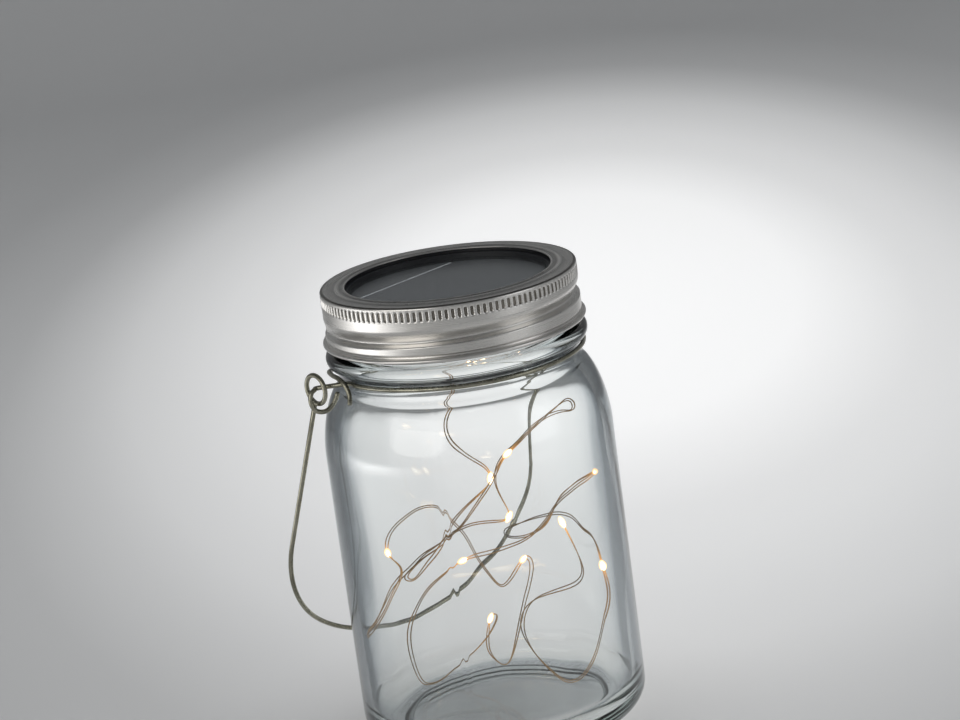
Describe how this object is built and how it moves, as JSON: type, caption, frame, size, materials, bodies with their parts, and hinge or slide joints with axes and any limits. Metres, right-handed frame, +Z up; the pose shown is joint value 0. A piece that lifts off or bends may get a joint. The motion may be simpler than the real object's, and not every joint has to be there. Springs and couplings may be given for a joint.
{
  "type": "solar mason jar lantern",
  "caption": "Clear glass screw-neck jar lantern with a wire bail handle, a solar panel lid and a string of warm lights inside.",
  "frame": {"origin": "centre of the jar's foot, on the surface it stands on", "axes": "+Z up along the jar's axis; -Y is the front of the jar; the handle hangs behind it towards +Y"},
  "size_m": [0.0999, 0.098, 0.136],
  "materials": {
    "clear_glass": "clear pressed glass",
    "wire_steel": "plain drawn wire, slightly olive",
    "band_steel": "satin rolled sheet",
    "black_plastic": "moulded, fine matte",
    "gasket_rubber": "soft silicone",
    "board_green": "glass-epoxy board",
    "cell_silicon": "dark silicon cell under a satin film",
    "ribbon_metal": "tinned ribbon",
    "panel_resin": "clear satin resin",
    "screw_steel": "zinc-plated",
    "chip_black": "moulded epoxy",
    "ferrite": "sintered ferrite",
    "capacitor_sleeve": "shrink sleeve",
    "battery_sleeve": "shrink sleeve",
    "contact_metal": "nickel-plated spring strip",
    "slider_white": "moulded",
    "lead_plastic": "insulated wire",
    "grommet_rubber": "moulded",
    "string_copper": "lacquered twin wire",
    "bead_resin": "clear resin drop over a warm light"
  },
  "bodies": {
    "jar": {"glass_jar": "clear_glass", "neck_wire": "wire_steel"},
    "solar_unit": {"solar_housing": "black_plastic", "rim_gasket": "gasket_rubber", "panel_board": "board_green", "solar_cells": "cell_silicon", "cell_ribbon": "ribbon_metal", "panel_cover": "panel_resin", "bottom_cover": "black_plastic", "cover_screws": "screw_steel", "circuit_board": "board_green", "driver_chip": "chip_black", "inductor": "ferrite", "capacitor": "capacitor_sleeve", "battery_cell": "battery_sleeve", "battery_spring": "contact_metal", "battery_plate": "contact_metal", "switch_body": "black_plastic", "panel_leads": "lead_plastic", "battery_leads": "lead_plastic", "string_grommet": "grommet_rubber", "string_wire": "string_copper", "led_beads": "bead_resin"},
    "band": {"screw_band": "band_steel"},
    "bail": {"bail_handle": "wire_steel"},
    "switch": {"switch_slider": "slider_white"}
  },
  "joints": [
    {"name": "lid_rise", "type": "slide", "parent": "jar", "child": "solar_unit", "axis": [0, 0, 1], "range_m": [0, 0.0064]},
    {"name": "band_turn", "type": "hinge", "parent": "solar_unit", "child": "band", "pos_m": [0, 0, 0.128], "axis": [0, 0, 1], "range_deg": [0, 450]},
    {"name": "bail_swing", "type": "hinge", "parent": "jar", "child": "bail", "pos_m": [-0.00846, 0.01062, 0.1111], "axis": [0.7821, 0.6232, 0], "range_deg": [0, 300]},
    {"name": "switch_slide", "type": "slide", "parent": "solar_unit", "child": "switch", "axis": [1, 0, 0], "range_m": [0, 0.0024]}
  ],
  "couplings": [
    {"joint": "lid_rise", "follows": "band_turn", "m_per_rad": 0.00080851}
  ]
}
